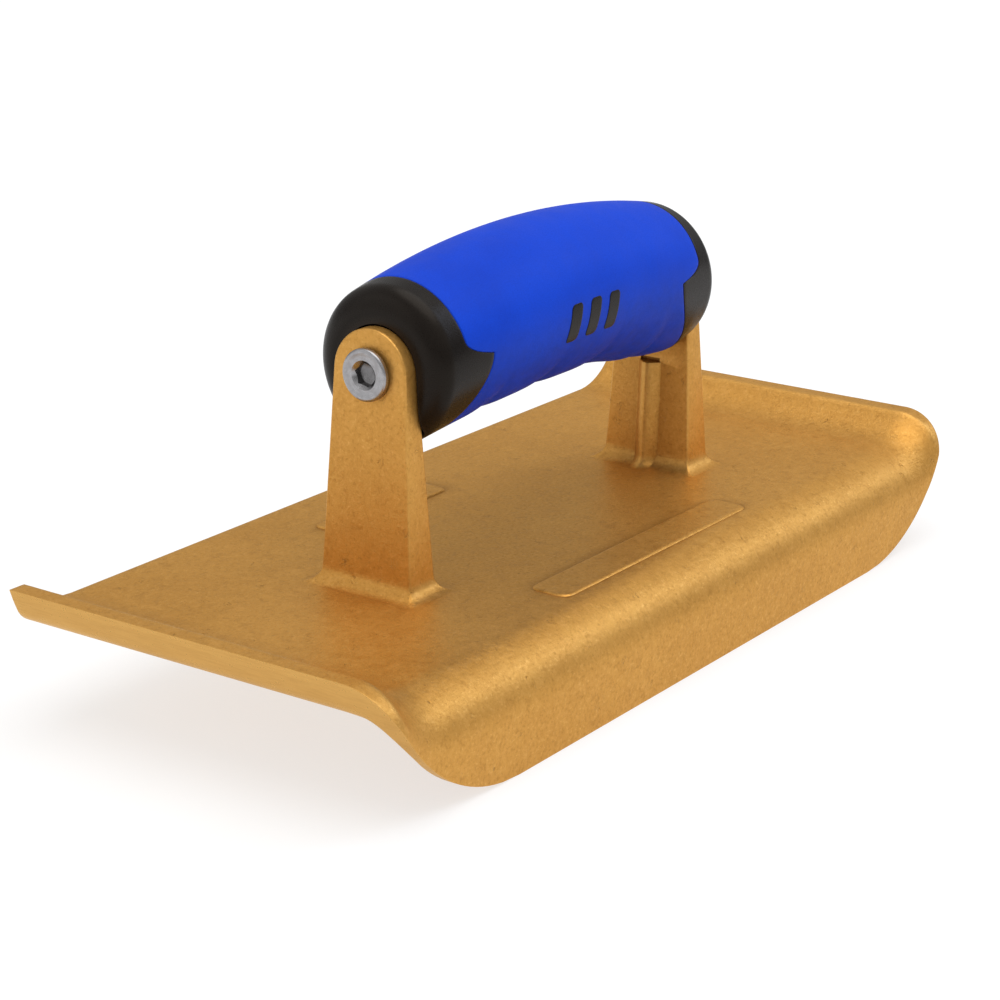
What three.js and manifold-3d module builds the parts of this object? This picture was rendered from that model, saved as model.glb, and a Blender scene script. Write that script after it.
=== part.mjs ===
// Concrete hand edger: one bronze casting with two posts, and a camel-back grip screwed between them.
//
// Millimetres, +Z up. X runs along the tool and Y across it. The origin is on the flat sole, under
// the middle of the plate. The bit, the lip that hangs down and rounds a slab's edge, is on -Y.

import * as THREE from 'three';
import { mergeVertices } from 'three/addons/utils/BufferGeometryUtils.js';
import Module from 'manifold-3d';

const wasm = await Module();
wasm.setup();

// ---- Driving dimensions -------------------------------------------------------------------------

// Plate, fold and bit
const WALL = 3;                  // thickness of the plate and of the bit
const BACK_EDGE = 50;            // from the handle's axis to the plate's back edge
const BIT_FACE = 50;             // from the handle's axis to the bit's outer face
const FOLD_RADIUS = 12.5;        // outside radius where the plate turns down into the bit
const FOLD_INNER_RADIUS = 8;
const BIT_DEPTH = 21.2;          // how far the bit hangs below the sole

// Both ends: a runner-shaped end face, and a raised rim inside it
const RUNNER_RADIUS = 42.9;
const RUNNER_START = 73.7;       // where the bit's lower edge begins to curve up, from the middle
const CURL_RADIUS = 18;          // inside radius that sweeps the plate's top up into the rim
const CURL_START = 96.8;         // from the middle
const RIM_RISE = 5.9;            // rim above the plate's top
const SOLE_CURL_RADIUS = 10;     // rounds the sole up into the end face
const SOLE_CURL_START = 106;     // from the middle

// Posts
const POST_SPACING = 110.6;      // between the posts' centre planes
const AXIS_HEIGHT = 50.3;        // screw axis above the sole
const POST_FOOT_WIDTH = 24;
const POST_HEAD_WIDTH = 18.9;    // at the screw axis
const POST_FOOT_THICKNESS = 9.1;
const POST_HEAD_THICKNESS = 4.4; // at the screw axis
const FLARE = 3.6;               // radius of the fillets around a post's foot
const RIB_RADIUS = 2.8;          // half-round rib on a post's inner face
const RIB_TOP = 29;
const RIB_FOOT = 3;              // radius of the fillet around the rib's foot

// Blank raised name panels
const PANEL_HEIGHT = 0.8;
const PANELS = [
  { length: 75, width: 10, x: -1, y: -32.3 },
  { length: 40, width: 9, x: -13.5, y: 31.5 },
];

// Grip
const GRIP_HALF_LENGTH = 54.2;
const GRIP_RADIUS_MIDDLE = 18.5;
const GRIP_RADIUS_END = 17;
const GRIP_BOW = 4.6;            // the grip's middle above its ends
const CAP_EDGE_RADIUS = 5;
const SLEEVE_HALF_LENGTH = 44.7;
const SLEEVE_THICKNESS = 3.2;

// Screws and the inserts they turn into
const SHANK_RADIUS = 3;
const SHANK_LENGTH = 16;
const HEAD_RADIUS = 5.7;
const HEAD_HEIGHT = 1.4;
const SOCKET_ACROSS_FLATS = 4.8;
const SOCKET_DEPTH = 2;
const INSERT_RADIUS = 5;
const INSERT_LENGTH = 12;

const GAP = 0.3;                 // left between neighbouring pieces
const HOLE_CLEARANCE = 0.4;
const OVERLAP = 1;               // how far joined solids run into each other

// Smoothness
const ARC_STEPS = 10;
const CURL_STEPS = 4;
const ROUND_STEPS = 48;
const HOLE_STEPS = 28;
const GRIP_STEPS = 16;

// Worked out from the above
const FOLD_CENTRE = new THREE.Vector2(-BIT_FACE + FOLD_RADIUS, WALL - FOLD_RADIUS);
const FOLD_INNER_CENTRE = new THREE.Vector2(-BIT_FACE + WALL + FOLD_INNER_RADIUS, -FOLD_INNER_RADIUS);
const RUNNER_CENTRE = new THREE.Vector2(RUNNER_START, RUNNER_RADIUS - BIT_DEPTH);
const RIM_TOP = WALL + RIM_RISE;
const SOLE_LIFT = RIM_RISE - OVERLAP;  // where the sole's curl stops, beyond the end face
const RUNNER_TOP_ANGLE = Math.asin((RIM_TOP - RUNNER_CENTRE.y) / RUNNER_RADIUS);
const POST_X = POST_SPACING / 2;
const POST_TAPER = (POST_FOOT_THICKNESS - POST_HEAD_THICKNESS) / (AXIS_HEIGHT - WALL);
const HEAD_SEAT = POST_X + postThickness(AXIS_HEIGHT - HEAD_RADIUS) / 2 + GAP;
const INSERT_OUTER_END = POST_X - postThickness(AXIS_HEIGHT - INSERT_RADIUS) / 2 - 2 * GAP;

// ---- Helpers ------------------------------------------------------------------------------------

function toSolid(geometry) {
  const bare = geometry.index ? geometry.clone() : geometry;
  bare.deleteAttribute('normal');
  bare.deleteAttribute('uv');
  const merged = mergeVertices(bare, 1e-4);
  return new wasm.Manifold(new wasm.Mesh({
    numProp: 3,
    vertProperties: new Float32Array(merged.attributes.position.array),
    triVerts: new Uint32Array(merged.index.array),
  }));
}

function toGeometry(solid) {
  const { vertProperties, triVerts } = solid.getMesh();
  const geometry = new THREE.BufferGeometry();
  geometry.setAttribute('position', new THREE.BufferAttribute(vertProperties, 3));
  geometry.setIndex(new THREE.BufferAttribute(triVerts, 1));
  geometry.computeVertexNormals();
  return geometry;
}

// Moves every vertex of a geometry by a function that edits the vertex in place.
function reshape(geometry, edit) {
  const position = geometry.attributes.position;
  const point = new THREE.Vector3();
  for (let i = 0; i < position.count; i += 1) {
    point.fromBufferAttribute(position, i);
    edit(point);
    position.setXYZ(i, point.x, point.y, point.z);
  }
  return geometry;
}

// Extrudes a shape drawn in the YZ plane along X.
function extrudeAlongX(shape, xFrom, xTo, steps = 1) {
  const geometry = new THREE.ExtrudeGeometry(shape, {
    depth: xTo - xFrom, steps, bevelEnabled: false, curveSegments: ARC_STEPS,
  });
  geometry.applyMatrix4(new THREE.Matrix4().set(0, 0, 1, xFrom, 1, 0, 0, 0, 0, 1, 0, 0, 0, 0, 0, 1));
  return geometry;
}

// Extrudes a shape drawn in the XZ plane along Y.
function extrudeAlongY(shape, yFrom, yTo) {
  const geometry = new THREE.ExtrudeGeometry(shape, {
    depth: yTo - yFrom, bevelEnabled: false, curveSegments: ARC_STEPS,
  });
  geometry.applyMatrix4(new THREE.Matrix4().set(1, 0, 0, 0, 0, 0, -1, yTo, 0, 1, 0, 0, 0, 0, 0, 1));
  return geometry;
}

// Turns a profile of [radius, x] points about the X axis.
function turnAboutX(profile, steps) {
  const points = profile.map(([radius, x]) => new THREE.Vector2(radius, x));
  return new THREE.LatheGeometry(points, steps).rotateZ(-Math.PI / 2);
}

// ---- Plate, fold and bit ------------------------------------------------------------------------

// The plate, fold and bit seen from the end, with the bit left long so that the runner cut trims it.
function shellSection() {
  const bitBottom = -BIT_DEPTH - OVERLAP;
  const shape = new THREE.Shape();
  shape.moveTo(BACK_EDGE, 0);
  shape.lineTo(BACK_EDGE, WALL);
  shape.lineTo(FOLD_CENTRE.x, WALL);
  shape.absarc(FOLD_CENTRE.x, FOLD_CENTRE.y, FOLD_RADIUS, Math.PI / 2, Math.PI, false);
  shape.lineTo(-BIT_FACE, bitBottom);
  shape.lineTo(-BIT_FACE + WALL, bitBottom);
  shape.lineTo(-BIT_FACE + WALL, FOLD_INNER_CENTRE.y);
  shape.absarc(FOLD_INNER_CENTRE.x, FOLD_INNER_CENTRE.y, FOLD_INNER_RADIUS, Math.PI, Math.PI / 2, true);
  shape.closePath();
  return shape;
}

// Where an arc of this radius, level at its start, has risen by rise.
function arcEnd(start, radius, rise) {
  return start + Math.sqrt(radius ** 2 - (radius - rise) ** 2);
}

// How far a surface is lifted at x: nothing along the plate, then an arc, then level again.
function lift(x, start, radius, most) {
  if (Math.abs(x) >= arcEnd(start, radius, most)) return most;
  return radius - Math.sqrt(radius ** 2 - Math.max(Math.abs(x) - start, 0) ** 2);
}

// Where the sections of the shell stand along X: close together in the curls, and none between them.
function shellStations() {
  const rimInside = arcEnd(CURL_START, CURL_RADIUS, RIM_RISE);
  const soleEnd = arcEnd(SOLE_CURL_START, SOLE_CURL_RADIUS, SOLE_LIFT);
  const stretch = (from, to) => Array.from({ length: CURL_STEPS },
    (_, i) => THREE.MathUtils.lerp(from, to, i / CURL_STEPS));
  const half = [
    ...stretch(CURL_START, SOLE_CURL_START),
    ...stretch(SOLE_CURL_START, rimInside),
    ...stretch(rimInside, soleEnd),
    soleEnd, RUNNER_START + RUNNER_RADIUS,
  ];
  return [...half.map((x) => -x).reverse(), ...half];
}

function isOuterSurface(y, z) {
  const middleRadius = FOLD_RADIUS - WALL / 2;
  if (z < FOLD_CENTRE.y - OVERLAP) return false;
  if (y > FOLD_CENTRE.x) return z > WALL / 2;
  return Math.hypot(y - FOLD_CENTRE.x, z - FOLD_CENTRE.y) > middleRadius;
}

function shell() {
  const stations = shellStations();
  const last = stations.length - 1;
  const geometry = extrudeAlongX(shellSection(), 0, last, last);
  reshape(geometry, (point) => {
    point.x = stations[Math.round(point.x)];
    if (isOuterSurface(point.y, point.z)) point.z += lift(point.x, CURL_START, CURL_RADIUS, RIM_RISE);
    else if (point.z >= FOLD_CENTRE.y) point.z += lift(point.x, SOLE_CURL_START, SOLE_CURL_RADIUS, SOLE_LIFT);
  });
  return toSolid(geometry).intersect(runnerEnvelope());
}

// The side view's outline: level below, and one large arc up to the rim at each end.
function runnerEnvelope() {
  const top = AXIS_HEIGHT;
  const shape = new THREE.Shape();
  shape.absarc(RUNNER_CENTRE.x, RUNNER_CENTRE.y, RUNNER_RADIUS, -Math.PI / 2, RUNNER_TOP_ANGLE, false);
  shape.lineTo(RUNNER_CENTRE.x + RUNNER_RADIUS * Math.cos(RUNNER_TOP_ANGLE), top);
  shape.lineTo(-RUNNER_CENTRE.x - RUNNER_RADIUS * Math.cos(RUNNER_TOP_ANGLE), top);
  shape.absarc(-RUNNER_CENTRE.x, RUNNER_CENTRE.y, RUNNER_RADIUS,
    Math.PI - RUNNER_TOP_ANGLE, 1.5 * Math.PI, false);
  shape.closePath();
  return toSolid(extrudeAlongY(shape, -BIT_FACE - OVERLAP, BACK_EDGE + OVERLAP));
}

function namePanel({ length, width, x, y }) {
  const radius = width / 4;
  const shape = new THREE.Shape();
  const right = length / 2 - radius;
  const top = width / 2 - radius;
  shape.absarc(right, top, radius, 0, Math.PI / 2, false);
  shape.absarc(-right, top, radius, Math.PI / 2, Math.PI, false);
  shape.absarc(-right, -top, radius, Math.PI, 1.5 * Math.PI, false);
  shape.absarc(right, -top, radius, 1.5 * Math.PI, 2 * Math.PI, false);
  shape.closePath();
  const depth = PANEL_HEIGHT + OVERLAP;
  const geometry = new THREE.ExtrudeGeometry(shape, { depth, bevelEnabled: false, curveSegments: 4 });
  return toSolid(geometry.translate(x, y, WALL - OVERLAP));
}

// ---- Posts --------------------------------------------------------------------------------------

function postThickness(z) {
  return POST_FOOT_THICKNESS - POST_TAPER * (z - WALL);
}

function postHalfWidth(z) {
  const share = (z - WALL) / (AXIS_HEIGHT - WALL);
  return THREE.MathUtils.lerp(POST_FOOT_WIDTH, POST_HEAD_WIDTH, share) / 2;
}

// One post's blade, standing on x = 0, made larger all round by grow.
function postBlade(grow = 0) {
  const foot = postHalfWidth(0) + grow;
  const head = POST_HEAD_WIDTH / 2 + grow;
  const shape = new THREE.Shape();
  shape.moveTo(-foot, WALL - OVERLAP);
  shape.lineTo(foot, WALL - OVERLAP);
  shape.absarc(0, AXIS_HEIGHT, head, 0, Math.PI, false);
  shape.closePath();
  const geometry = extrudeAlongX(shape, -1, 1);
  reshape(geometry, (point) => {
    point.x *= postThickness(point.z) / 2 + grow;
  });
  return toSolid(geometry);
}

// The four concave fillets around a post's foot, mitred at the corners.
function postFlare() {
  const geometry = new THREE.BoxGeometry(2, 2, ARC_STEPS + 1, 1, 1, ARC_STEPS + 1);
  reshape(geometry, (point) => {
    const step = Math.round(point.z + (ARC_STEPS + 1) / 2) - 1;
    const turn = (Math.max(step, 0) / ARC_STEPS) * (Math.PI / 2);
    const height = FLARE * (1 - Math.cos(turn));
    const reach = FLARE * (1 - Math.sin(turn));
    point.z = step < 0 ? WALL - OVERLAP : WALL + height;
    point.x *= postThickness(WALL + height) / 2 + reach;
    point.y *= postHalfWidth(WALL + height) + reach;
  });
  return toSolid(geometry);
}

// A half-round rib with a fillet around its foot. The post's blade swallows its other half.
function postRib() {
  const bottom = WALL - OVERLAP;
  const profile = [new THREE.Vector2(0, bottom), new THREE.Vector2(RIB_RADIUS + RIB_FOOT, bottom)];
  for (let i = 0; i <= ARC_STEPS / 2; i += 1) {
    const turn = (i / (ARC_STEPS / 2)) * (Math.PI / 2);
    const radius = RIB_RADIUS + RIB_FOOT * (1 - Math.sin(turn));
    profile.push(new THREE.Vector2(radius, WALL + RIB_FOOT * (1 - Math.cos(turn))));
  }
  profile.push(new THREE.Vector2(RIB_RADIUS, RIB_TOP), new THREE.Vector2(0, RIB_TOP));
  const geometry = new THREE.LatheGeometry(profile, HOLE_STEPS).rotateX(Math.PI / 2);
  return toSolid(geometry);
}

// side is -1 for the near post and 1 for the far one; the rib faces the other post.
function post(side) {
  const ribX = -side * postThickness(RIB_TOP) / 2;
  const hole = toSolid(new THREE.CylinderGeometry(SHANK_RADIUS + HOLE_CLEARANCE,
    SHANK_RADIUS + HOLE_CLEARANCE, 2 * POST_FOOT_THICKNESS, HOLE_STEPS).rotateZ(Math.PI / 2));
  return postBlade()
    .add(postFlare())
    .add(postRib().translate([ribX, 0, 0]))
    .subtract(hole.translate([0, 0, AXIS_HEIGHT]))
    .translate([side * POST_X, 0, 0]);
}

function casting() {
  let solid = shell();
  for (const panel of PANELS) solid = solid.add(namePanel(panel));
  for (const side of [-1, 1]) solid = solid.add(post(side));
  return toGeometry(solid);
}

// ---- Grip ---------------------------------------------------------------------------------------

function gripRadius(x) {
  const share = (x / GRIP_HALF_LENGTH) ** 2;
  return THREE.MathUtils.lerp(GRIP_RADIUS_MIDDLE, GRIP_RADIUS_END, share);
}

function gripAxisHeight(x) {
  return AXIS_HEIGHT + GRIP_BOW * (1 - (x / GRIP_HALF_LENGTH) ** 2);
}

// Radius and position at even steps between two places along the grip, moved in or out by offset.
function gripRun(xFrom, xTo, steps, offset = 0) {
  return Array.from({ length: steps + 1 }, (_, i) => {
    const x = THREE.MathUtils.lerp(xFrom, xTo, i / steps);
    return [gripRadius(x) + offset, x];
  });
}

function bowed(geometry) {
  return reshape(geometry, (point) => {
    point.z += gripAxisHeight(point.x);
  });
}

// The cap's rounded edge, from the end face out to the side, for the end at -X.
function capEdge() {
  const steps = ARC_STEPS / 2;
  return Array.from({ length: steps + 1 }, (_, i) => {
    const turn = (i / steps) * (Math.PI / 2);
    const radius = GRIP_RADIUS_END - CAP_EDGE_RADIUS * (1 - Math.sin(turn));
    return [radius, -GRIP_HALF_LENGTH + CAP_EDGE_RADIUS * (1 - Math.cos(turn))];
  });
}

function gripCore() {
  const nearEdge = capEdge();
  const farEdge = nearEdge.map(([radius, x]) => [radius, -x]).reverse();
  const shoulder = SLEEVE_HALF_LENGTH + GAP;
  const waist = gripRun(-shoulder, shoulder, GRIP_STEPS, -SLEEVE_THICKNESS - GAP);
  const profile = [
    [0, -GRIP_HALF_LENGTH], ...nearEdge,
    [gripRadius(shoulder), -shoulder], ...waist, [gripRadius(shoulder), shoulder],
    ...farEdge, [0, GRIP_HALF_LENGTH],
  ];
  let solid = toSolid(bowed(turnAboutX(profile, ROUND_STEPS)));
  for (const side of [-1, 1]) {
    const socketLength = INSERT_LENGTH + GAP + POST_FOOT_THICKNESS;
    const socketEnd = INSERT_OUTER_END - INSERT_LENGTH - GAP;
    const socket = toSolid(new THREE.CylinderGeometry(INSERT_RADIUS + GAP, INSERT_RADIUS + GAP,
      socketLength, HOLE_STEPS).rotateZ(Math.PI / 2));
    solid = solid
      .subtract(postBlade(GAP).translate([side * POST_X, 0, 0]))
      .subtract(socket.translate([side * (socketEnd + socketLength / 2), 0, AXIS_HEIGHT]));
  }
  return toGeometry(solid);
}

function gripSleeve() {
  const outside = gripRun(-SLEEVE_HALF_LENGTH, SLEEVE_HALF_LENGTH, GRIP_STEPS);
  const inside = gripRun(SLEEVE_HALF_LENGTH, -SLEEVE_HALF_LENGTH, GRIP_STEPS, -SLEEVE_THICKNESS);
  return toGeometry(toSolid(bowed(turnAboutX([...outside, ...inside, outside[0]], ROUND_STEPS))));
}

// ---- Fasteners ----------------------------------------------------------------------------------

// A low round head with a hexagon socket. The head's outer face looks along -X and its seat is x = 0.
function screw() {
  const rim = 0.6;
  const profile = [
    [0, -HEAD_HEIGHT], [HEAD_RADIUS - 2 * rim, -HEAD_HEIGHT], [HEAD_RADIUS - rim / 2, -HEAD_HEIGHT + rim / 2],
    [HEAD_RADIUS, -HEAD_HEIGHT + 2 * rim], [HEAD_RADIUS, 0], [SHANK_RADIUS, 0],
    [SHANK_RADIUS, SHANK_LENGTH - rim], [SHANK_RADIUS - rim, SHANK_LENGTH], [0, SHANK_LENGTH],
  ];
  const cornerRadius = SOCKET_ACROSS_FLATS / Math.sqrt(3);
  const socket = new THREE.CylinderGeometry(cornerRadius, cornerRadius, 2 * SOCKET_DEPTH, 6);
  return toGeometry(toSolid(turnAboutX(profile, HOLE_STEPS))
    .subtract(toSolid(socket.rotateZ(Math.PI / 2)).translate([-HEAD_HEIGHT, 0, 0])));
}

// A plain threaded bush moulded into the core.
function insert() {
  const bore = SHANK_RADIUS + HOLE_CLEARANCE;
  const profile = [
    [bore, 0], [INSERT_RADIUS, 0], [INSERT_RADIUS, INSERT_LENGTH], [bore, INSERT_LENGTH], [bore, 0],
  ];
  return toGeometry(toSolid(turnAboutX(profile, HOLE_STEPS)));
}

// ---- Assembly -----------------------------------------------------------------------------------

const MATERIALS = {
  bronze: { color: 0xb5832f, roughness: 0.45, metalness: 1 },
  black_plastic: { color: 0x1b1817, roughness: 0.45, metalness: 0 },
  blue_rubber: { color: 0x1236c4, roughness: 0.5, metalness: 0 },
  zinc_steel: { color: 0xa6a6a8, roughness: 0.35, metalness: 1 },
  brass: { color: 0xc9a24a, roughness: 0.35, metalness: 1 },
};

function mesh(name, geometry, material) {
  const result = new THREE.Mesh(geometry, new THREE.MeshStandardMaterial(MATERIALS[material]));
  result.name = name;
  return result;
}

const edger = new THREE.Group();
edger.add(mesh('edger_casting', casting(), 'bronze'));

edger.add(mesh('handle_core', gripCore(), 'black_plastic'));
edger.add(mesh('grip_sleeve', gripSleeve(), 'blue_rubber'));

for (const [name, side] of [['near', -1], ['far', 1]]) {
  const facing = new THREE.Group();
  facing.position.z = AXIS_HEIGHT;
  facing.rotation.z = side < 0 ? 0 : Math.PI;
  const bolt = mesh(`${name}_screw`, screw(), 'zinc_steel');
  bolt.position.x = -HEAD_SEAT;
  const bush = mesh(`${name}_insert`, insert(), 'brass');
  bush.position.x = -INSERT_OUTER_END;
  facing.add(bolt, bush);
  edger.add(facing);
}

export default edger;
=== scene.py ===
# Concrete hand edger: a bronze casting with a rounded bit, curled ends and two posts, and a
# camel-back grip of black plastic and soft blue rubber screwed between them.
#
# Lengths are millimetres, which is what the shapes are built in. Blender's are metres, so
# finish_piece scales each piece, and the camera's clipping distances are metres already.

import math

import bmesh
import bpy
import numpy as np
from mathutils import Matrix, Vector, noise

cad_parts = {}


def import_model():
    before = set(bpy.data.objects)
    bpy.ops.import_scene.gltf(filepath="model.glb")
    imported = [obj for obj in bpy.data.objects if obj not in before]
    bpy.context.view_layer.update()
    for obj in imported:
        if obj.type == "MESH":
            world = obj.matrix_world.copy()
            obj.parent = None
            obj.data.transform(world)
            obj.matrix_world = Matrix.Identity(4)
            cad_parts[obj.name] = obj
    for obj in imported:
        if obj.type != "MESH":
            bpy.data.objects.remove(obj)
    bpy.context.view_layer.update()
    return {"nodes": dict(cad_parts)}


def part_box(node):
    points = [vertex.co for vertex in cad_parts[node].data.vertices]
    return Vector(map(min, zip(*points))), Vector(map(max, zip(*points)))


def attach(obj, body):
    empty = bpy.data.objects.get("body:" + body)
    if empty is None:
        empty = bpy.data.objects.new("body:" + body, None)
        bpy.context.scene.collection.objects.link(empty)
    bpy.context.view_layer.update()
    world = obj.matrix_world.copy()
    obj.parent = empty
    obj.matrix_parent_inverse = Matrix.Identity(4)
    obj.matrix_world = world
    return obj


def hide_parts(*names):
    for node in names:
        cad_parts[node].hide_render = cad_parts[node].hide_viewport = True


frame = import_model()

MM = 0.001


def box_mm(node):
    low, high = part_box(node)
    return low / MM, high / MM


# ---- Sizes: the overall ones come from the frame, and the rest are the CAD model's --------------

CAST_LOW, CAST_HIGH = box_mm("edger_casting")
CORE_HIGH = box_mm("handle_core")[1]
SCREW_LOW, SCREW_HIGH = box_mm("near_screw")
INSERT_LOW, INSERT_HIGH = box_mm("near_insert")

# Plate, fold and bit, and the runner-shaped end faces.
WALL = 3.0
BACK_EDGE = CAST_HIGH.y
BIT_FACE = -CAST_LOW.y
BIT_BOTTOM = CAST_LOW.z
FOLD_RADIUS = 12.5
FOLD_Y = -BIT_FACE + FOLD_RADIUS
FOLD_Z = WALL - FOLD_RADIUS
INNER_RADIUS = 8.0
RUNNER_RADIUS = 42.9
RUNNER_START = 73.7
RUNNER_Z = BIT_BOTTOM + RUNNER_RADIUS

# The plate's top curls up into a rim at each end, and the sole curls up less.
CURL_RADIUS = 18.0
CURL_START = 96.8
RIM_RISE = 5.9
CREST_RADIUS = 1.2
SOLE_CURL_RADIUS = 10.0
SOLE_CURL_START = 106.0
SOLE_CURL_END = SOLE_CURL_START + SOLE_CURL_RADIUS * 0.8
SOLE_ROUND = 3.2
SOLE_ROUND_ON_BIT = 0.2 * SOLE_ROUND

# Posts, each with a fillet around its foot and a rib up its inner face.
POST_X = 55.3
AXIS_Z = (SCREW_LOW.z + SCREW_HIGH.z) / 2
FOOT_WIDTH = 24.0
HEAD_WIDTH = 18.9
FOOT_THICKNESS = 9.1
HEAD_THICKNESS = 4.4
POST_EDGE = 0.55
FLARE = 3.6
RIB_DEPTH = 2.3
RIB_HALF_WIDTH = 3.5
RIB_TOP = 29.0
RIB_FOOT = 3.0

# How far each shape reaches into the plate. They differ, so that no two faces coincide. The
# curve of a fillet or of a rib starts OVERLAP below the surface that it meets.
BLADE_SINK = 1.5
FLARE_SINK = 1.2
RIB_SINK = 1.35
PANEL_SINK = 1.0
OVERLAP = 0.06

# The blank panels, as (x, y, length, width).
PANEL_HEIGHT = 0.4
PANELS = ((-1.0, -32.3, 75.0, 10.0), (-13.5, 31.5, 40.0, 9.0))

# Grip.
GRIP_HALF = CORE_HIGH.x
GRIP_MIDDLE_RADIUS = 18.5
GRIP_END_RADIUS = 17.0
GRIP_BOW = 4.6
CAP_EDGE = 5.0
CAP_DEPTH = 3.7
SLEEVE_DEPTH = 2.6
SLEEVE_GAP = 0.12
FINGER_PITCH = 21.0
FINGER_START = -30.0
FINGER_DEPTH = 0.9
HEEL_SWELL = 1.8

# The three plain slanted bars on the grip, by their places along it.
GRIP_MARKS = (-8.0, -0.6, 6.8)
MARK_WIDTH = 4.2
MARK_HEIGHT = 8.4
MARK_CORNER = 1.1
MARK_SLANT = 0.22
MARK_TURN = math.radians(94)
MARK_RISE = 0.10

# Screws and the inserts they turn into.
HEAD_RADIUS = (SCREW_HIGH.y - SCREW_LOW.y) / 2
HEAD_HEIGHT = 1.4
HEAD_FACE = -SCREW_LOW.x
HEAD_RIM = 0.6
HEAD_DISH = 0.14
SOCKET_DEPTH = 2.1
SOCKET_WIDTH = 4.7
SOCKET_TURN = math.radians(12)
SHANK_RADIUS = 3.0
SCREW_END = -SCREW_HIGH.x
INSERT_RADIUS = (INSERT_HIGH.y - INSERT_LOW.y) / 2


# ---- Small helpers ------------------------------------------------------------------------------

def smoothstep(low, high, value):
    share = min(max((value - low) / (high - low), 0.0), 1.0)
    return share * share * (3 - 2 * share)


def lerp(a, b, share):
    return a + (b - a) * share


def quad_grid(rows, around=False):
    """Faces of a grid of rows of vertices, numbered row by row. around closes each row."""
    height, width = len(rows), len(rows[0])
    faces = []
    for i in range(height - 1):
        for j in range(width if around else width - 1):
            k = (j + 1) % width
            faces.append((i * width + j, i * width + k, (i + 1) * width + k, (i + 1) * width + j))
    return faces


def mesh_from(name, points, faces):
    """A new object from points in millimetres, with its faces turned outwards."""
    mesh = bpy.data.meshes.new(name)
    bm = bmesh.new()
    vertices = [bm.verts.new(p) for p in points]
    for face in faces:
        bm.faces.new([vertices[i] for i in face])
    bmesh.ops.recalc_face_normals(bm, faces=bm.faces)
    if bm.calc_volume(signed=True) < 0:
        bmesh.ops.reverse_faces(bm, faces=bm.faces)
    bm.to_mesh(mesh)
    bm.free()
    obj = bpy.data.objects.new(name, mesh)
    bpy.context.scene.collection.objects.link(obj)
    return obj


def tube(name, rings):
    """A closed solid from rings of points, with a flat cap on the first and the last."""
    points = [p for ring in rings for p in ring]
    faces = quad_grid(rings, around=True)
    width = len(rings[0])
    faces.append(tuple(range(width)))
    faces.append(tuple(range(len(points) - width, len(points)))[::-1])
    return mesh_from(name, points, faces)


def turned(name, profile, steps, centre_x=0.0):
    """A solid turned about the screws' axis, from (radius, distance) points. The first and the
    last are at radius 0, and distances count from centre_x."""
    points, rings = [], []
    for radius, along in profile:
        if radius < 1e-6:
            rings.append([len(points)])
            points.append((along, 0.0, 0.0))
            continue
        rings.append(list(range(len(points), len(points) + steps)))
        for i in range(steps):
            turn = 2 * math.pi * i / steps
            points.append((along, radius * math.cos(turn), radius * math.sin(turn)))
    faces = []
    for low, high in zip(rings, rings[1:]):
        for i in range(steps):
            j = (i + 1) % steps
            if len(low) == 1:
                faces.append((low[0], high[i], high[j]))
            elif len(high) == 1:
                faces.append((low[i], low[j], high[0]))
            else:
                faces.append((low[i], low[j], high[j], high[i]))
    centre = Vector((centre_x, 0, AXIS_Z))
    return mesh_from(name, [Vector(p) + centre for p in points], faces)


def carve(target, others, operation="DIFFERENCE"):
    """Joins the others to the target or cuts them from it, and removes them."""
    for other in others:
        modifier = target.modifiers.new("carve", "BOOLEAN")
        modifier.operation = operation
        modifier.solver = "EXACT"
        modifier.object = other
        graph = bpy.context.evaluated_depsgraph_get()
        made = bpy.data.meshes.new_from_object(target.evaluated_get(graph))
        target.modifiers.clear()
        old = target.data
        target.data = made
        bpy.data.meshes.remove(old)
        bpy.data.objects.remove(other)


def clean(obj, near):
    """Merges points nearer than near, and removes faces and edges that small."""
    bm = bmesh.new()
    bm.from_mesh(obj.data)
    bmesh.ops.remove_doubles(bm, verts=bm.verts, dist=near)
    bmesh.ops.dissolve_degenerate(bm, edges=bm.edges, dist=near)
    bm.to_mesh(obj.data)
    bm.free()


def bevel_sharp(obj, width, angle):
    """Rounds the convex edges sharper than angle, in degrees, by width or less where Blender
    finds no room for it."""
    bm = bmesh.new()
    bm.from_mesh(obj.data)
    bm.normal_update()
    edges = [edge for edge in bm.edges if len(edge.link_faces) == 2 and edge.is_convex
             and edge.calc_face_angle() > math.radians(angle)]
    bmesh.ops.bevel(bm, geom=edges, offset=width, segments=3, profile=0.5,
                    affect="EDGES", clamp_overlap=True)
    bm.to_mesh(obj.data)
    bm.free()


def smooth(obj, angle=32):
    obj.data.shade_smooth()
    obj.data.set_sharp_from_angle(angle=math.radians(angle))


def finish_piece(obj, material, slot, *nodes):
    """Turns a piece into metres, gives it its material, and puts it in for its nodes. Its slot is not
    used.
    """
    obj.data.transform(Matrix.Scale(MM, 4))
    obj.data.name = obj.name
    obj.data.materials.clear()
    obj.data.materials.append(material)
    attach(obj, "root")
    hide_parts(*nodes)


# ---- Shell: plate, fold, bit and the curled ends ------------------------------------------------

def rim_lift(x):
    """How far the top is lifted: an inside curve up, a small rounded crest, then the level rim."""
    reach = CURL_RADIUS + CREST_RADIUS
    crest_z = RIM_RISE - CREST_RADIUS
    crest_x = CURL_START + math.sqrt(reach ** 2 - (CURL_RADIUS - crest_z) ** 2)
    meet_x = lerp(CURL_START, crest_x, CURL_RADIUS / reach)
    x = abs(x)
    if x <= CURL_START:
        return 0.0
    if x <= meet_x:
        return CURL_RADIUS - math.sqrt(CURL_RADIUS ** 2 - (x - CURL_START) ** 2)
    if x < crest_x:
        return crest_z + math.sqrt(max(CREST_RADIUS ** 2 - (x - crest_x) ** 2, 0.0))
    return RIM_RISE


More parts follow.
